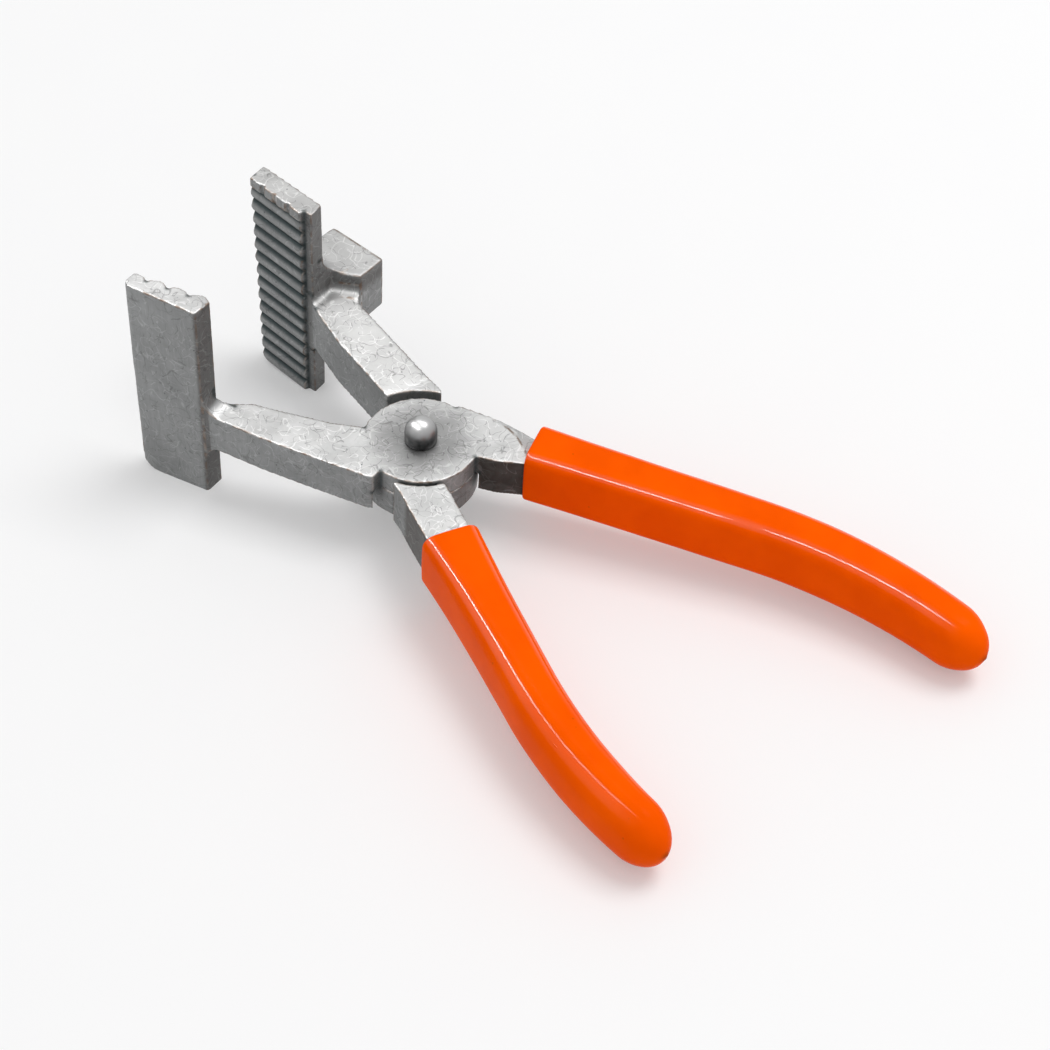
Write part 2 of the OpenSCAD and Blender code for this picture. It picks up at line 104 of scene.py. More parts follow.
# The camera's place in millimetres, and its turn, lift and roll in degrees
CAMERA_PLACE = Vector((-225.42, 323.14, 407.77))
CAMERA_ANGLES = (211.13, 47.91, 3.96)


# Settings


class SteelSettings(bpy.types.PropertyGroup):
    """Finish of the two levers"""
    # Pale level faces and darker flanks: partly a real finish, partly painted light, a painted highlight on
    # the level faces and painted shade on the flanks
    face: bpy.props.FloatVectorProperty(
        name="Ground faces", description="Colour of the pale ground faces on top and underneath",
        default=(0.455, 0.455, 0.452), size=3, min=0.0, max=1.0, subtype="COLOR")
    flank: bpy.props.FloatVectorProperty(
        name="Flanks", description="Colour of the darker upright faces",
        default=(0.255, 0.26, 0.26), size=3, min=0.0, max=1.0, subtype="COLOR")
    # Dark colour of the pits, and of the painted shade in the inside corners and between the ridges
    valley: bpy.props.FloatVectorProperty(
        name="Valleys", description="Colour of the grime that lies in the inside corners",
        default=(0.030, 0.042, 0.044), size=3, min=0.0, max=1.0, subtype="COLOR")
    rust: bpy.props.FloatVectorProperty(
        name="Worn edges", description="Brown tint of the worn edges",
        default=(0.16, 0.11, 0.08), size=3, min=0.0, max=1.0, subtype="COLOR")
    # Dark forging skin on the tangs, also used as painted shade on the bars' root ends and the hammer's wall
    skin: bpy.props.FloatVectorProperty(
        name="Forging skin", description="Colour of the dark skin that forging leaves on the tangs' flanks",
        default=(0.040, 0.031, 0.025), size=3, min=0.0, max=1.0, subtype="COLOR")
    grain: bpy.props.FloatProperty(
        name="Face size", description="Size of the small faces that a lever is rebuilt in",
        default=0.4 * MM, min=0.25 * MM, max=1.0 * MM, precision=5, unit="LENGTH")
    ripple: bpy.props.FloatProperty(
        name="Ripple", description="Height of the uneven forged surface",
        default=0.05 * MM, min=0.0, max=0.3 * MM, precision=5, unit="LENGTH")


class SleeveSettings(bpy.types.PropertyGroup):
    """Finish and shape of the two dipped sleeves"""
    colour: bpy.props.FloatVectorProperty(
        name="Plastic", description="Colour of the dipped plastic",
        default=(1.0, 0.108, 0.0), size=3, min=0.0, max=1.0, subtype="COLOR")
    step: bpy.props.FloatProperty(
        name="Step", description="Distance between the rings of a sleeve",
        default=1.6 * MM, min=0.5 * MM, max=4.0 * MM, precision=5, unit="LENGTH")
    nib: bpy.props.FloatProperty(
        name="Nib", description="Radius of the drip left at the end of a sleeve",
        default=0.9 * MM, min=0.0, max=1.5 * MM, precision=5, unit="LENGTH")


class StageSettings(bpy.types.PropertyGroup):
    """Table, lamps and camera"""
    sky: bpy.props.FloatProperty(
        name="Sky", description="Strength of the soft light from all round", default=0.68, min=0.0, max=2.0)
    overhead: bpy.props.FloatProperty(
        name="Overhead lamp", description="Power of the broad lamp overhead",
        default=19.0, min=0.0, max=100.0, unit="POWER")
    strip: bpy.props.FloatProperty(
        name="Strip lamp", description="Power of the narrow lamp that draws the lines on the sleeves",
        default=8.0, min=0.0, max=20.0, unit="POWER")
    glow: bpy.props.FloatProperty(
        name="Glow lamp", description="Power of the dimmer lamp that draws the second line",
        default=1.1, min=0.0, max=20.0, unit="POWER")
    focal: bpy.props.FloatProperty(
        name="Lens", description="Focal length of the camera in millimetres",
        default=82.29, min=20.0, max=200.0)


# Materials


class Shade:
    """A value in a material; arithmetic on it adds Math nodes"""

    def __init__(self, finish, socket):
        self.finish = finish
        self.socket = socket

    def _math(self, operation, *terms):
        return self.finish.node("ShaderNodeMath", {"operation": operation}, dict(enumerate(terms)))

    def __add__(self, other):
        return self._math("ADD", self, other)

    def __sub__(self, other):
        return self._math("SUBTRACT", self, other)

    def __mul__(self, other):
        return self._math("MULTIPLY", self, other)

    def __radd__(self, other):
        return self._math("ADD", other, self)

    def __rsub__(self, other):
        return self._math("SUBTRACT", other, self)

    def __rmul__(self, other):
        return self._math("MULTIPLY", other, self)

    def __abs__(self):
        return self._math("ABSOLUTE", self)

    def greater(self, other):
        return self._math("MAXIMUM", self, other)

    def between(self, low, high, start=0.0, end=1.0):
        """Smooth step from start at low to end at high"""
        return self.finish.node("ShaderNodeMapRange", {"interpolation_type": "SMOOTHSTEP"},
                                {"Value": self, "From Min": low, "From Max": high,
                                 "To Min": start, "To Max": end})


class Finish:
    """A node tree that is being filled"""

    def __init__(self, tree):
        self.tree = tree
        tree.nodes.clear()

    def node(self, kind, settings=None, inputs=None, take=0):
        """Adds a node, its settings first, and gives back one of its outputs"""
        made = self.tree.nodes.new(kind)
        for name, value in (settings or {}).items():
            setattr(made, name, value)
        for name, value in (inputs or {}).items():
            if isinstance(value, Shade):
                self.tree.links.new(value.socket, made.inputs[name])
            else:
                made.inputs[name].default_value = value
        return Shade(self, made.outputs[take]) if made.outputs else None

    def place(self, scale=(1.0, 1.0, 1.0), turn=(0.0, 0.0, 0.0), shift=(0.0, 0.0, 0.0)):
        """Object coordinates in millimetres, turned, shifted and stretched"""
        coordinates = self.node("ShaderNodeTexCoord", take="Object")
        return self.node("ShaderNodeMapping", inputs={
            "Vector": coordinates, "Location": shift, "Rotation": [math.radians(a) for a in turn],
            "Scale": [s / MM for s in scale]})

    def noise(self, where, size, detail=2.0, roughness=0.5, distortion=0.0):
        """Cloudy pattern with features of a size in millimetres"""
        return self.node("ShaderNodeTexNoise", {"noise_dimensions": "3D"},
                         {"Vector": where, "Scale": 1.0 / size, "Detail": detail, "Roughness": roughness,
                          "Distortion": distortion})

    def mix(self, mask, under, over):
        return self.node("ShaderNodeMix", {"data_type": "RGBA"}, {0: mask, 6: under, 7: over}, take=2)

    def seen(self):
        """1 where the eye looks, straight or by way of metal or glass"""
        path = "ShaderNodeLightPath"
        straight = self.node(path, take="Is Camera Ray").greater(self.node(path, take="Is Glossy Ray"))
        return straight.greater(self.node(path, take="Is Transmission Ray"))

    def attribute(self, name):
        return self.node("ShaderNodeAttribute", {"attribute_name": name}, take="Fac")


def four(colour):
    return (*colour, 1.0)


def new_material(name):
    material = bpy.data.materials.new(name)
    material.use_nodes = True
    return material, Finish(material.node_tree)


def close_material(finish, settings, inputs):
    shader = finish.node("ShaderNodeBsdfPrincipled", settings, inputs)
    finish.node("ShaderNodeOutputMaterial", None, {"Surface": shader})


def hairlines(finish, size, width, level, seed, turn):
    """Winding scratches: the lines where a cloudy pattern crosses a level, broken up by a second one"""
    where = finish.place(turn=turn, shift=(seed, 2.0 * seed, -seed))
    line = abs(finish.noise(where, size, detail=0.0, distortion=0.5) - level).between(0.0, width, 1.0, 0.0)
    broken = finish.noise(finish.place(turn=turn, shift=(-seed, seed, seed)), size * 0.55, detail=0.0)
    return line * broken.between(0.45, 0.53)


def scratches(finish, layers, width):
    """Several layers of hairlines together"""
    shown = None
    for size, level, seed, turn in layers:
        line = hairlines(finish, size, width, level, seed, turn)
        shown = line if shown is None else shown.greater(line)
    return shown


def lever_steel_material(steel):
    """Satin forged steel: pale scratched faces and darker flanks, partly painted light; brown worn edges;
    painted shade in the nooks
    """
    material, finish = new_material("lever_steel")
    normal = finish.node("ShaderNodeTexCoord", take="Normal")
    lean = finish.node("ShaderNodeSeparateXYZ", inputs={"Vector": normal}, take="Z")
    # Level faces pale and flanks darker: partly finish, partly a painted highlight and painted shade
    face = abs(lean).between(0.62, 0.93)
    edge = finish.attribute("edge")
    nook = finish.attribute("nook")
    skin = finish.attribute("skin")
    groove = finish.attribute("groove")
    from_pivot = finish.node("ShaderNodeVectorMath", {"operation": "LENGTH"},
                             {0: finish.place(scale=(1.0, 1.0, 0.0))}, take="Value")
    # Painted shade on the lap disc round the rivet: the level faces darken towards the pivot
    pivot_shade = from_pivot.between(6.0, LAP_R + 3.0, 1.0, 0.0)

    cloud = finish.noise(finish.place(), 11.0, detail=5.0, roughness=0.6)
    patch = finish.noise(finish.place(shift=(3.0, 8.0, 5.0)), 4.0, detail=3.0, roughness=0.6, distortion=0.5)
    fine = finish.noise(finish.place(), 0.6, detail=3.0, roughness=0.7)
    streak = finish.noise(finish.place(scale=(1.0, 1.0, 0.09)), 0.5, detail=3.0)
    level_streak = finish.noise(finish.place(scale=(0.06, 0.06, 1.0)), 0.5, detail=3.0)
    pale_line = scratches(finish, PALE_SCRATCHES, PALE_WIDTH)
    dark_line = scratches(finish, DARK_SCRATCHES, DARK_WIDTH)
    pit = finish.node("ShaderNodeTexVoronoi", {"feature": "F1"},
                      {"Vector": finish.place(), "Scale": 0.42, "Randomness": 1.0}, take="Distance")
    pit = pit.between(0.05, 0.12, 1.0, 0.0) * finish.noise(finish.place(), 5.0).between(0.46, 0.58)

    colour = finish.mix(face, four(steel.flank), four(steel.face))
    shade = (cloud - 0.5) * 0.7 + (patch - 0.5) * 0.22 + (fine - 0.5) * 0.06 + 1.0
    shade = shade + (streak - 0.5) * 0.3 * (1.0 - face) + (level_streak - 0.5) * 0.12
    shade = shade + pale_line * (0.24 + 0.12 * face) - dark_line * (0.30 + 0.14 * face)
    shade = shade * (1.0 - 0.50 * pivot_shade * face)
    colour = finish.node("ShaderNodeVectorMath", {"operation": "SCALE"}, {0: colour, "Scale": shade})
    colour = finish.mix(pit * 0.8, colour, four(steel.valley))
    dull = patch.between(0.3, 0.7, 0.78, 1.0) - pale_line * 0.2
    # Forging skin, and painted shade on the root ends and the hammer's wall
    colour = finish.mix(skin * dull, colour, four(steel.skin))
    # Painted shade between the ridges
    colour = finish.mix(groove.between(0.2, 0.8) * 0.92, colour, four(steel.valley))
    stain = finish.noise(finish.place(), 2.2, detail=3.0).between(0.42, 0.55)
    colour = finish.mix(edge.between(0.35, 0.85) * stain * 0.9, colour, four(steel.rust))
    bright = finish.noise(finish.place(shift=(7.0, 3.0, 1.0)), 2.6, detail=2.0).between(0.44, 0.58)
    worn = edge.between(0.4, 0.85) * bright * (1.0 - skin) * 0.3
    colour = finish.mix(worn, colour, (0.80, 0.78, 0.75, 1.0))
    # Painted shade in the inside corners
    colour = finish.mix(nook.between(0.1, 0.95) * 0.86, colour, four(steel.valley))

    rough = 0.43 + (cloud - 0.5) * 0.3 + 0.10 * (1.0 - face) + nook * 0.2 + skin * 0.28 - pale_line * 0.1
    height = (fine - 0.5) * 0.15 + (streak - 0.5) * 0.2 * (1.0 - face)
    height = height - dark_line * 0.5 - pale_line * 0.3 - pit
    bump = finish.node("ShaderNodeBump", None, {"Strength": 0.55, "Distance": 0.05 * MM, "Height": height})
    close_material(finish, None, {"Base Color": colour, "Metallic": 0.88 - skin * 0.35, "Roughness": rough,
                                  "Normal": bump})
    return material


def rivet_steel_material():
    """Polished steel with faint turning rings, a painted reflection that darkens the head towards its foot,
    and painted shade at the foot
    """
    material, finish = new_material("rivet_steel")
    cloud = finish.noise(finish.place(), 2.2, detail=3.0)
    ring = finish.noise(finish.place(scale=(0.15, 0.15, 1.0)), 0.35, detail=2.0)
    fine = finish.noise(finish.place(), 0.5, detail=2.0)
    nook = finish.attribute("nook")
    height = finish.node("ShaderNodeSeparateXYZ", inputs={"Vector": finish.place()}, take="Z")
    # Painted reflection of the disc: the head darkens towards its foot
    colour = finish.mix(height.between(1.8, 6.7), (0.030, 0.030, 0.031, 1.0), (0.42, 0.42, 0.42, 1.0))
    colour = finish.mix(cloud.between(0.4, 0.8) * 0.2, colour, (0.45, 0.45, 0.45, 1.0))
    # Painted shade where the head's foot meets the disc
    colour = finish.mix(nook * 0.9, colour, (0.03, 0.03, 0.03, 1.0))
    rough = 0.34 + (cloud - 0.5) * 0.12 + (ring - 0.5) * 0.06
    bump = finish.node("ShaderNodeBump", None,
                       {"Strength": 0.3, "Distance": 0.02 * MM, "Height": ring * 0.6 + fine * 0.4})
    close_material(finish, None, {"Base Color": colour, "Metallic": 1.0, "Roughness": rough, "Normal": bump})
    return material


def sleeve_plastic_material(sleeve):
    """Glossy dipped plastic with a faint orange-peel surface"""
    material, finish = new_material("sleeve_plastic")
    cloud = finish.noise(finish.place(), 14.0, detail=3.0)
    peel = finish.noise(finish.place(), 3.2, detail=2.0)
    fine = finish.noise(finish.place(), 0.6, detail=2.0)
    speck = finish.node("ShaderNodeTexVoronoi", {"feature": "F1"},
                        {"Vector": finish.place(), "Scale": 0.16}, take="Distance")
    speck = speck.between(0.03, 0.06, 1.0, 0.0)
    drip = finish.attribute("drip")
    deep = [c * f for c, f in zip(sleeve.colour, (0.92, 0.84, 0.9))]
    colour = finish.mix(cloud.between(0.3, 0.7), four(deep), four(sleeve.colour))
    colour = finish.mix((drip * 0.85).greater(speck * 0.25), colour, (0.25, 0.05, 0.01, 1.0))
    rough = 0.14 + (cloud - 0.5) * 0.10 + (fine - 0.5) * 0.05
    bump = finish.node("ShaderNodeBump", None,
                       {"Strength": 0.16, "Distance": 0.12 * MM, "Height": peel * 0.8 + fine * 0.06})
    close_material(finish, None, {"Base Color": colour, "Roughness": rough, "IOR": 1.27,
                                  "Specular IOR Level": 0.03, "Coat Weight": finish.attribute("corner"),
                                  "Coat Roughness": 0.05, "Normal": bump})
    return material


def table_material():
    """White table that stays white to the eye and in reflections, and keeps the shadow"""
    material, finish = new_material("table")
    grain = finish.noise(finish.place(), 30.0)
    colour = finish.mix(grain, (0.72, 0.72, 0.725, 1.0), (0.73, 0.73, 0.73, 1.0))
    glow = finish.mix(finish.seen(), (0.0, 0.0, 0.0, 1.0), (0.21, 0.21, 0.21, 1.0))
    close_material(finish, None, {"Base Color": colour, "Roughness": 0.9, "Specular IOR Level": 0.0,
                                  "Emission Color": glow, "Emission Strength": 1.0})
    return material


# Modelling


def pick(obj):
    """Leaves one object selected and active"""
    bpy.ops.object.select_all(action="DESELECT")
    obj.select_set(True)
    bpy.context.view_layer.objects.active = obj


def apply_modifiers(obj):
    pick(obj)
    for modifier in list(obj.modifiers):
        bpy.ops.object.modifier_apply(modifier=modifier.name)


def merged_copy(node, name):
    """Copy of a CAD node whose loose triangles are joined"""
    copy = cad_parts[node].copy()
    copy.data = copy.data.copy()
    copy.name = name
    copy.animation_data_clear()
    bpy.context.collection.objects.link(copy)
    pick(copy)
    bpy.ops.object.mode_set(mode="EDIT")
    bpy.ops.mesh.select_all(action="SELECT")
    bpy.ops.mesh.remove_doubles(threshold=0.002 * MM)
    bpy.ops.mesh.dissolve_limited(angle_limit=math.radians(0.5))
    bpy.ops.object.mode_set(mode="OBJECT")
    return copy


def corners_of(obj, least=26.0, least_inner=50.0, spacing=0.2 * MM):
    """Points along the outer and inner corners of a joined mesh"""
    solid = bmesh.new()
    solid.from_mesh(obj.data)
    outer, inner = [], []
    for edge in solid.edges:
        if len(edge.link_faces) != 2:
            continue
        angle = edge.calc_face_angle_signed()
        if abs(angle) < math.radians(least if angle > 0 else least_inner):
            continue
        start, end = (v.co for v in edge.verts)
        count = max(1, int((end - start).length / spacing))
        points = [start.lerp(end, i / count) for i in range(count + 1)]
        (outer if angle > 0 else inner).extend(points)
    solid.free()
    return outer, inner


def tree_of(points):
    tree = kdtree.KDTree(len(points))
    for i, point in enumerate(points):
        tree.insert(point, i)
    tree.balance()
    return tree


def write_values(obj, name, values):
    """Stores one value for each point of a mesh, for the materials to read"""
    layer = obj.data.attributes.new(name, "FLOAT", "POINT")
    layer.data.foreach_set("value", values)


def mark_edges_and_nooks(obj, outer, inner, edge_reach, nook_reach):
    """Writes how near each point lies to an outer corner, for the worn edges, and to an inner one, for the
    painted shade in the nooks
    """
    for name, points, reach in (("edge", outer, edge_reach), ("nook", inner, nook_reach)):
        values = [0.0] * len(obj.data.vertices)
        if points:
            tree = tree_of(points)
            for vertex in obj.data.vertices:
                distance = tree.find(vertex.co)[2]
                values[vertex.index] = max(0.0, 1.0 - distance / reach)
        write_values(obj, name, values)


def closed_place(point, side):
    """Place in millimetres that a point of a lever has when the jaws are closed, mirrored to the +Y side"""
    turn = -math.radians(side * OPENING / 2)
    x, y = point.x / MM, point.y / MM
    return Vector((x * math.cos(turn) - y * math.sin(turn),
                   (x * math.sin(turn) + y * math.cos(turn)) * side, point.z / MM))


def jaw_place(closed):
    """Place in a bar's own frame: X from root to tip, Y from face to back"""
    x, y = closed.x - JAW_ROOT[0], closed.y - JAW_ROOT[1]
    turn = math.radians(TOE_IN)
    return Vector((x * math.cos(turn) - y * math.sin(turn),
                   x * math.sin(turn) + y * math.cos(turn), closed.z))


def ramp(value, low, high):
    return max(0.0, min(1.0, (value - low) / (high - low)))


def mark_skin_and_shade(lever, side):
    """Writes where the dark forging skin is left and where shade is painted, and how deep a point lies
    between two ridges
    """
    skin_and_shade_values, grooves = [], []
    for vertex in lever.data.vertices:
        closed = closed_place(vertex.co, side)
        facing = closed_place(vertex.normal * MM, side)
        jaw = jaw_place(closed)
        upright = 1.0 - ramp(abs(facing.z), 0.55, 0.8)
        # The tang's flanks, forging skin and painted shade, then the root end of the bar, painted shade
        skin = ramp(-closed.x, 13.0, 15.0) * (0.95 if side > 0 else 0.66) * upright
        root_end_shade = ramp(2.4 - jaw.x, 0.0, 0.8) * ramp(jaw.x, -0.6, -0.2) * upright
        skin = max(skin, root_end_shade * (0.55 if side > 0 else 0.35))
        # A faint darkening on the ridged lever's level faces, and painted shade on the wall where its arm
        # sweeps up to the hammer
        if side < 0:
            skin = max(skin, (0.04 + 0.12 * ramp(closed.x, 12.0, 20.0)) * (1.0 - upright))
        if side < 0 and closed.x > 40.0 and jaw.y > 6.0:
            hammer_wall_shade = ramp(-facing.x, 0.2, 0.7) * ramp(closed.z, 3.0, 6.0) * ramp(12.0 - closed.z, 0.0, 5.0)
            skin = max(skin, 0.5 * hammer_wall_shade)
        groove = 0.0
        if side < 0 and jaw.x > 2.2 and jaw.y < 1.8 and JAW_LOW < jaw.z < JAW_TOP - LIP - 0.1:
            phase = (jaw.z - JAW_LOW) / RIDGE_PITCH
            groove = 2.0 * abs(phase - math.floor(phase) - 0.5) * ramp(1.8 - jaw.y, 0.0, 0.4)
        skin_and_shade_values.append(skin)
        grooves.append(groove)
    for name, values in (("skin", skin_and_shade_values), ("groove", grooves)):
        write_values(lever, name, values)


def forged(node, name, side, steel):
    """Rebuilds a lever in small even faces, with soft corners and an uneven forged surface"""
    lever = merged_copy(node, name)
    outer, inner = corners_of(lever)
    inner = [point for point in inner if not is_flush(closed_place(point, side))]
    rebuild = lever.modifiers.new("rebuild", "REMESH")
    rebuild.mode = "VOXEL"
    rebuild.voxel_size = steel.grain
    rebuild.use_smooth_shade = True
    soften = lever.modifiers.new("soften", "SMOOTH")
    soften.factor = 0.5
    soften.iterations = 3
    apply_modifiers(lever)
    mark_edges_and_nooks(lever, outer, inner, 0.9 * MM, 1.3 * MM)
    mark_skin_and_shade(lever, side)
    edges = lever.data.attributes["edge"].data
    for vertex, normal in zip(lever.data.vertices, [v.normal.copy() for v in lever.data.vertices]):
        place = vertex.co / MM
        joint = max(0.0, min(1.0, (math.hypot(place.x, place.y) - 15.0) / 6.0))
        swell = noise.noise(place * 0.16) * 0.8 + noise.noise(place * 0.55) * 0.35
        chip = max(0.0, noise.noise(place * 0.9 + Vector((9.0, 4.0, 2.0)))) * edges[vertex.index].value
        vertex.co += normal * steel.ripple * joint * (swell - 1.4 * chip)
    lever.data.update()
    lever.data.materials.clear()
    return lever


def is_flush(closed):
    """True behind the bars, where the arms and the hammer run into them without painted shade in the corner
    """
    return closed.x > 30.0 and jaw_place(closed).y > 4.6


def ring_up(factor, rise):
    """Extrudes the selected end of a turned piece by a rise, and scales its radius by a factor"""
    bpy.ops.mesh.extrude_region_move(TRANSFORM_OT_translate={"value": (0.0, 0.0, rise)})
    bpy.ops.transform.resize(value=(factor, factor, 1.0))


def turned(name, profile, sides=96):
    """Turns a profile of (radius, height) pairs from its lower end to its upper end"""
    bpy.ops.object.select_all(action="DESELECT")
    radius, height = profile[0]
    bpy.ops.mesh.primitive_circle_add(vertices=sides, radius=radius, fill_type="NGON",
                                      location=(0, 0, height))
    piece = bpy.context.active_object
    piece.name = name
    bpy.ops.object.mode_set(mode="EDIT")
    bpy.ops.mesh.select_all(action="SELECT")
    for new_radius, new_height in profile[1:]:
        ring_up(new_radius / radius, new_height - height)
        radius, height = new_radius, new_height
    bpy.ops.mesh.select_all(action="SELECT")
    bpy.ops.mesh.normals_make_consistent(inside=False)
    bpy.ops.object.mode_set(mode="OBJECT")
    bpy.ops.object.transform_apply(location=True, rotation=True, scale=True)
    bpy.ops.object.shade_smooth_by_angle(angle=math.radians(38))
    return piece


def handle_place(handle, along, across, up):
    """CAD place in metres of a point given along, across and above a handle's centre line in millimetres"""
    bend = max(0.0, min(handle["bend"], math.degrees((along - handle["straight"]) / handle["bend_r"])))
    if along <= handle["straight"]:
        local = Vector((along, across, up))
    else:
        past = along - handle["straight"] - math.radians(bend) * handle["bend_r"]
        turn = Matrix.Rotation(-math.radians(bend), 4, "Z")
        centre = Vector((handle["straight"], -handle["bend_r"], 0.0))
        local = centre + turn @ Vector((past, handle["bend_r"] + across, up))
    mouth = Vector((*handle["mouth"], -handle["thick"] / 2))
    closed = mouth + Matrix.Rotation(math.radians(180.0 - handle["heading"]), 4, "Z") @ local
    closed.y *= handle["side"]
    opened = Matrix.Rotation(math.radians(handle["side"] * OPENING / 2), 4, "Z") @ closed
    return opened * MM


def along_handle(values, part):
    """Smooth value at a part (0 to 1) of the way along a handle, through values at even steps"""
    part = max(0.0, min(1.0, part)) * (len(values) - 1)
    total = 0.0
    for i, value in enumerate(values):
        weight = 1.0
        for j in range(len(values)):
            if j != i:
                weight *= (part - j) / (i - j)
        total += value * weight
    return total


def section_point(across, up, wide, high, corner, roundness):
    """Point of a round-cornered section that answers to a point of the unit circle"""
    t = math.atan2(abs(up), abs(across)) / math.radians(90)
    a, b = wide / 2, high / 2
    if t < 1 / 6:
        flat = Vector((a + 0.1 * (1.0 - (6 * t) ** 2), (b - corner) * 6 * t))
    elif t > 5 / 6:
        flat = Vector(((a - corner) * 6 * (1.0 - t), b + 0.1 * (1.0 - (6 * (1.0 - t)) ** 2)))
    else:
        angle = math.radians((t - 1 / 6) * 135.0)
        flat = Vector((a - corner + corner * math.cos(angle), b - corner + corner * math.sin(angle)))
    oval = Vector((a * math.cos(math.radians(90 * t)), b * math.sin(math.radians(90 * t))))
    point = flat.lerp(oval, roundness)
    return math.copysign(point.x, across), math.copysign(point.y, up)


def sleeve_tube(name, length, nose, step):
    """Tube of radius 1 along X, with rings at even steps and a blunt nose"""
    bpy.ops.object.select_all(action="DESELECT")
    bpy.ops.mesh.primitive_circle_add(vertices=SLEEVE_SIDES, radius=1.0, fill_type="NGON",
                                      rotation=(0.0, math.radians(90), 0.0))
    piece = bpy.context.active_object
    piece.name = name
    bpy.ops.object.transform_apply(location=True, rotation=True, scale=True)
    bpy.ops.object.mode_set(mode="EDIT")
    bpy.ops.mesh.select_all(action="SELECT")
    stations = [(0.06, 1.0), (0.2, 1.0), (0.42, 1.0), (MOUTH_LIP, 1.0)]
    stations += [(x * step, 1.0) for x in range(1, int(length / step) + 1)]
    for i in range(1, NOSE_RINGS + 1):
        t = math.sin(math.radians(90.0 * i / NOSE_RINGS))
        stations.append((length + nose * t, max(0.01, math.sqrt(max(0.0, 1.0 - t * t)))))
    before, scale = 0.0, 1.0
    for x, size in stations:
        bpy.ops.mesh.extrude_region_move(TRANSFORM_OT_translate={"value": (x - before, 0.0, 0.0)})
        bpy.ops.transform.resize(value=(1.0, size / scale, size / scale))
        before, scale = x, size
    bpy.ops.mesh.select_all(action="DESELECT")
    bpy.ops.object.mode_set(mode="OBJECT")
    return piece


def open_mouth(piece, pocket):
    """Insets a tube's open end twice, for the lip and its rim, and draws the pocket in along the tang"""
    for polygon in piece.data.polygons:
        polygon.select = abs(polygon.center.x) < 1e-4 and abs(polygon.normal.x) > 0.9
    bpy.ops.object.mode_set(mode="EDIT")
    bpy.ops.mesh.select_mode(type="FACE")
    bpy.ops.mesh.inset(thickness=0.06, depth=0.0)
    bpy.ops.mesh.inset(thickness=0.14, depth=0.0)
    count = int(pocket / 4.0)
    for _ in range(count):
        bpy.ops.mesh.extrude_region_move(TRANSFORM_OT_translate={"value": (pocket / count, 0.0, 0.0)})
    bpy.ops.mesh.select_all(action="SELECT")
    bpy.ops.object.mode_set(mode="OBJECT")


def lay_on_handle(piece, handle, length, nib):
    """Gives each point its section and its place on the handle, and marks the drip and shining corners"""
    drips, corners = [], []
    for vertex in piece.data.vertices:
        along, across, up = vertex.co
        size = math.hypot(across, up)
        lean = math.degrees(math.atan2(abs(up), abs(across)))
        gloss = 1.0 - (1.0 - handle["shine"]) * ramp(along, 0.42 * length, 0.66 * length)
        band = 1.0 - ramp(abs(lean - SHINE_LEAN), SHINE_FULL, SHINE_END)
        corners.append(band * ramp(length + 3.0 - along, 0.0, 9.0) * gloss)
        part = along / length
        wide, high, lift, corner = (along_handle(handle[k], part)
                                    for k in ("wide", "high", "lift", "corner"))
        roundness = along_handle(handle["round"], part)
        drip = 0.0
        # A point lies on the outside, on the lip's inner rim or in the pocket
        if size > 0.97 or along > length:
            inset = 0.0
            if along < MOUTH_LIP:
                inset = MOUTH_LIP - math.sqrt(max(0.0, MOUTH_LIP ** 2 - (MOUTH_LIP - along) ** 2))
            where = Vector((along * 0.09, across, up)) + Vector((handle["side"], 4.0, 7.0))
            wave = 1.0 + 0.006 * noise.noise(where)
            roundness += (0.9 - roundness) * ramp(along, length, length + 0.6 * handle["nose"])
            across, up = section_point(across, up, (wide - 2 * inset) * wave, (high - 2 * inset) * wave,
                                       corner - inset * 0.8, roundness)
            across, up = across * size, up * size
            if along > length:
                rest = math.hypot(across, up)
                along += 0.4 * nib * math.exp(-(rest / (0.8 * nib)) ** 2)
                drip = math.exp(-(rest / (1.1 * nib)) ** 2)
        elif size > 0.9:
            across, up = section_point(across, up, wide - 2.3 * MOUTH_LIP, high - 2.3 * MOUTH_LIP,
                                       corner * 0.6, roundness)
            along = 0.0
        else:
            half = (TANG[0] + (TANG[1] - TANG[0]) * min(1.0, along / handle["straight"])) / 2 + 0.15
            across, up = section_point(across, up, 2 * half, handle["thick"] + 0.3, 0.3, 0.0)
            lift = 0.0
        drips.append(drip)
        vertex.co = handle_place(handle, along, across, up + lift)
    for name, values in (("drip", drips), ("corner", corners)):
        write_values(piece, name, values)


def sleeve_piece(key, name, sleeve):
    """Dipped sleeve: a round-cornered section along the handle, with a blunt nose and an open mouth"""
    handle = HANDLES[key]
    length = handle["straight"] + math.radians(handle["bend"]) * handle["bend_r"]
    piece = sleeve_tube(name, length, handle["nose"], sleeve.step / MM)
    open_mouth(piece, length - SOLID_END)
    lay_on_handle(piece, handle, length, sleeve.nib / MM)
    pick(piece)
    bpy.ops.object.mode_set(mode="EDIT")
    bpy.ops.mesh.select_all(action="SELECT")
    bpy.ops.mesh.normals_make_consistent(inside=False)
    bpy.ops.object.mode_set(mode="OBJECT")
    bpy.ops.object.shade_smooth_by_angle(angle=math.radians(50))
    return piece


# Operators and panel


class PLIERS_OT_ribbed_lever(bpy.types.Operator):
    """Forges the lever with the upright ribs"""
    bl_idname = "pliers.ribbed_lever"
    bl_label = "Ribbed lever"

    def execute(self, context):
        steel = context.scene.pliers_steel
        lever = forged("upper_lever", "ribbed_lever", 1, steel)
        lever.data.materials.append(lever_steel())
        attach(lever, "plain_half")
        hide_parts("upper_lever")
        return {"FINISHED"}


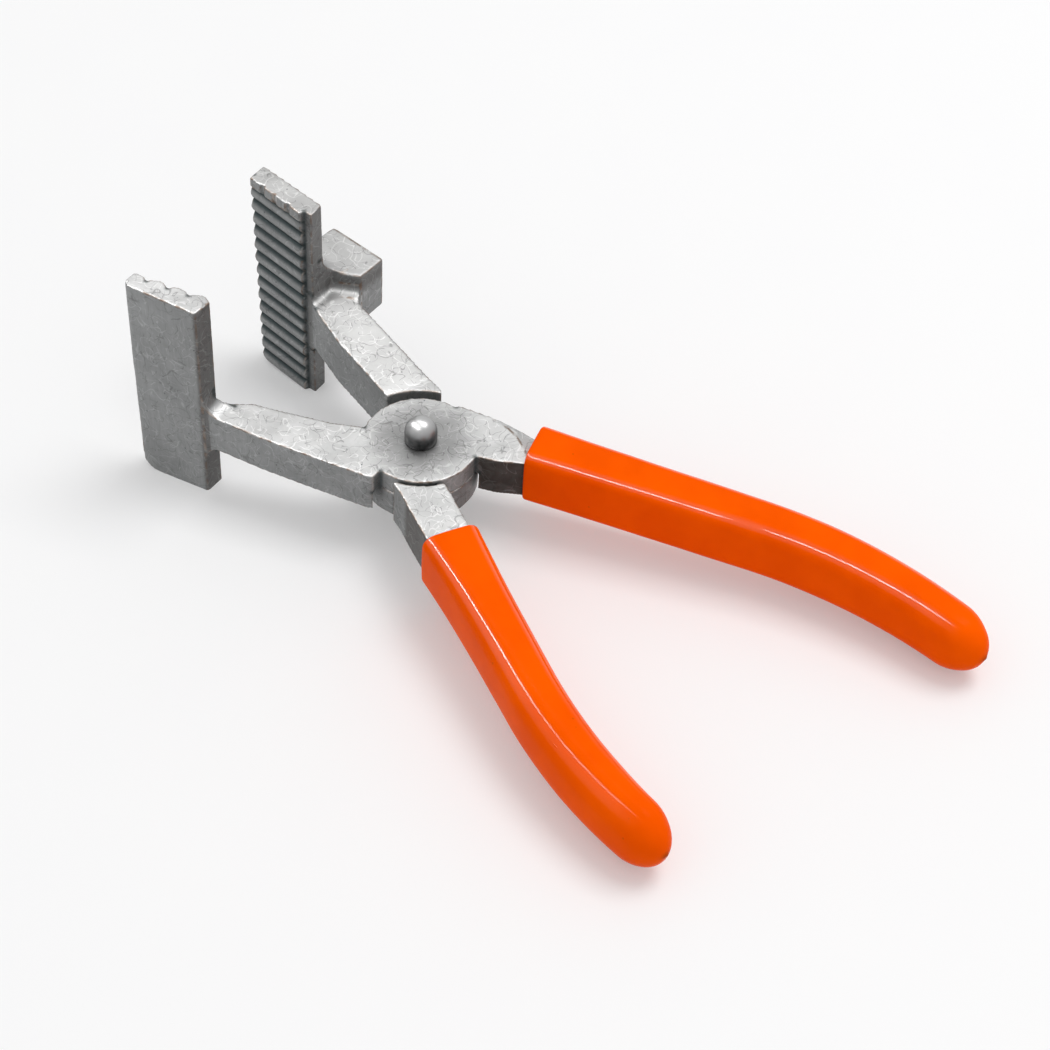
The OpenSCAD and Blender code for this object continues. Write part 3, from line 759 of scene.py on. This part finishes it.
class PLIERS_OT_ridged_lever(bpy.types.Operator):
    """Forges the lever with the level ridges and the hammer"""
    bl_idname = "pliers.ridged_lever"
    bl_label = "Ridged lever"

    def execute(self, context):
        steel = context.scene.pliers_steel
        lever = forged("lower_lever", "ridged_lever", -1, steel)
        lever.data.materials.append(lever_steel())
        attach(lever, "ridged_half")
        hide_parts("lower_lever")
        return {"FINISHED"}


def lever_steel():
    """The levers' shared material, made once"""
    found = bpy.data.materials.get("forged_steel")
    if found is None:
        found = lever_steel_material(bpy.context.scene.pliers_steel)
        found.name = "forged_steel"
    return found


class PLIERS_OT_rivet(bpy.types.Operator):
    """Turns the domed rivet"""
    bl_idname = "pliers.rivet"
    bl_label = "Rivet"

    def execute(self, context):
        low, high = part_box("rivet")
        head_r, shank_r, peen_r = 3.9, 3.0, 5.0
        foot, top = low[2] / MM, high[2] / MM
        dome_start = top - head_r
        profile = [(0.4, foot), (2.2, foot + 0.06), (3.6, foot + 0.4), (4.5, foot + 0.95),
                   (peen_r, foot + 1.7), (peen_r, foot + 2.0), (shank_r, foot + 2.0), (shank_r, 0.0),
                   (head_r - 0.35, 0.0), (head_r - 0.35, 0.18), (head_r - 0.08, 0.34), (head_r, 0.6),
                   (head_r, dome_start)]
        profile += [(head_r * math.cos(math.radians(a)), dome_start + head_r * math.sin(math.radians(a)))
                    for a in range(6, 90, 6)] + [(0.02, top)]
        rivet = turned("rivet_pin", [(r * MM, z * MM) for r, z in profile])
        mark_edges_and_nooks(rivet, [], [Vector((head_r * math.cos(a), head_r * math.sin(a), 0.0)) * MM
                              for a in [math.radians(i) for i in range(360)]], MM, 0.7 * MM)
        rivet.data.materials.append(rivet_steel_material())
        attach(rivet, "plain_half")
        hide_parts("rivet")
        return {"FINISHED"}


class PLIERS_OT_sleeves(bpy.types.Operator):
    """Dips both handles in glossy plastic"""
    bl_idname = "pliers.sleeves"
    bl_label = "Sleeves"

    def execute(self, context):
        sleeve = context.scene.pliers_sleeve
        plastic = sleeve_plastic_material(sleeve)
        for key, body in (("upper", "plain_half"), ("lower", "ridged_half")):
            piece = sleeve_piece(key, key + "_grip", sleeve)
            piece.data.materials.append(plastic)
            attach(piece, body)
            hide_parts(key + "_sleeve")
        return {"FINISHED"}


class PLIERS_OT_stage(bpy.types.Operator):
    """Sets the white table, the lamps and the camera"""
    bl_idname = "pliers.stage"
    bl_label = "Stage"

    def execute(self, context):
        stage = context.scene.pliers_stage
        self.table()
        self.sky(context, stage)
        for name, lamp in LAMPS.items():
            self.lamp(name, Vector(lamp["place"]), Vector(lamp["long_axis"]), lamp["size"],
                      getattr(stage, name), lamp["mirrored_only"])
        self.camera(context, stage)
        return {"FINISHED"}

    def table(self):
        """The tool lies on the feet of its jaws and on the ends of its sleeves"""
        foot, heel = TABLE_FOOT * MM, TABLE_HEEL * MM
        bpy.ops.object.select_all(action="DESELECT")
        bpy.ops.mesh.primitive_plane_add(size=8.0)
        table = bpy.context.active_object
        table.name = "table"
        slope = math.atan2(heel.z - foot.z, foot.x - heel.x)
        turn = Matrix.Rotation(slope, 4, "Y")
        table.data.transform(Matrix.Translation(foot) @ turn)
        table.data.materials.append(table_material())

    def sky(self, context, stage):
        world = bpy.data.worlds.new("studio")
        context.scene.world = world
        world.use_nodes = True
        finish = Finish(world.node_tree)
        strength = finish.seen() * (1.0 - stage.sky) + stage.sky
        light = finish.node("ShaderNodeBackground", None,
                            {"Color": (1.0, 1.0, 1.0, 1.0), "Strength": strength})
        finish.node("ShaderNodeOutputWorld", None, {"Surface": light})

    def lamp(self, name, place, long_axis, size, power, mirrored_only):
        """Area lamp at a place, aimed at the pivot, with its length along an axis"""
        data = bpy.data.lights.new(name, "AREA")
        data.shape = "RECTANGLE"
        data.size, data.size_y = size
        data.energy = power
        lamp = bpy.data.objects.new(name, data)
        out = place.normalized()
        long_way = (long_axis - out * long_axis.dot(out)).normalized()
        pose = Matrix((long_way.cross(out), long_way, out)).transposed().to_4x4()
        pose.translation = place
        lamp.matrix_world = pose
        lamp.visible_diffuse = not mirrored_only
        bpy.context.collection.objects.link(lamp)

    def camera(self, context, stage):
        """Looks from the photograph's place"""
        turn, lift, roll = (math.radians(a) for a in CAMERA_ANGLES)
        back = Vector((math.sin(turn) * math.cos(lift), -math.cos(turn) * math.cos(lift), math.sin(lift)))
        right = Vector((math.cos(turn), math.sin(turn), 0.0))
        up = back.cross(right)
        rolled_right = math.cos(roll) * right + math.sin(roll) * up
        rolled_up = math.cos(roll) * up - math.sin(roll) * right
        data = bpy.data.cameras.new("camera")
        data.lens = stage.focal
        data.sensor_width = 36.0
        data.clip_start = 0.01
        camera = bpy.data.objects.new("camera", data)
        pose = Matrix((rolled_right, rolled_up, back)).transposed().to_4x4()
        pose.translation = CAMERA_PLACE * MM
        camera.matrix_world = pose
        context.collection.objects.link(camera)
        context.scene.camera = camera
        context.scene.view_settings.view_transform = "Standard"


class PLIERS_PT_panel(bpy.types.Panel):
    """Lists the steps and their settings"""
    bl_label = "Pliers"
    bl_idname = "PLIERS_PT_panel"
    bl_space_type = "VIEW_3D"
    bl_region_type = "UI"
    bl_category = "Pliers"

    def draw(self, context):
        scene = context.scene
        for group, steps in ((scene.pliers_steel, (PLIERS_OT_ribbed_lever, PLIERS_OT_ridged_lever,
                                                   PLIERS_OT_rivet)),
                             (scene.pliers_sleeve, (PLIERS_OT_sleeves,)),
                             (scene.pliers_stage, (PLIERS_OT_stage,))):
            box = self.layout.box()
            for name in group.__annotations__:
                box.prop(group, name)
            for step in steps:
                box.operator(step.bl_idname)


CLASSES = (SteelSettings, SleeveSettings, StageSettings, PLIERS_OT_ribbed_lever, PLIERS_OT_ridged_lever,
           PLIERS_OT_rivet, PLIERS_OT_sleeves, PLIERS_OT_stage, PLIERS_PT_panel)
GROUPS = {"pliers_steel": SteelSettings, "pliers_sleeve": SleeveSettings, "pliers_stage": StageSettings}


def register():
    for item in CLASSES:
        bpy.utils.register_class(item)
    for name, group in GROUPS.items():
        setattr(bpy.types.Scene, name, bpy.props.PointerProperty(type=group))


def unregister():
    for name in GROUPS:
        delattr(bpy.types.Scene, name)
    for item in reversed(CLASSES):
        bpy.utils.unregister_class(item)


def main():
    register()
    bpy.ops.pliers.ribbed_lever()
    bpy.ops.pliers.ridged_lever()
    bpy.ops.pliers.rivet()
    bpy.ops.pliers.sleeves()
    bpy.ops.pliers.stage()


if __name__ == "__main__":
    main()
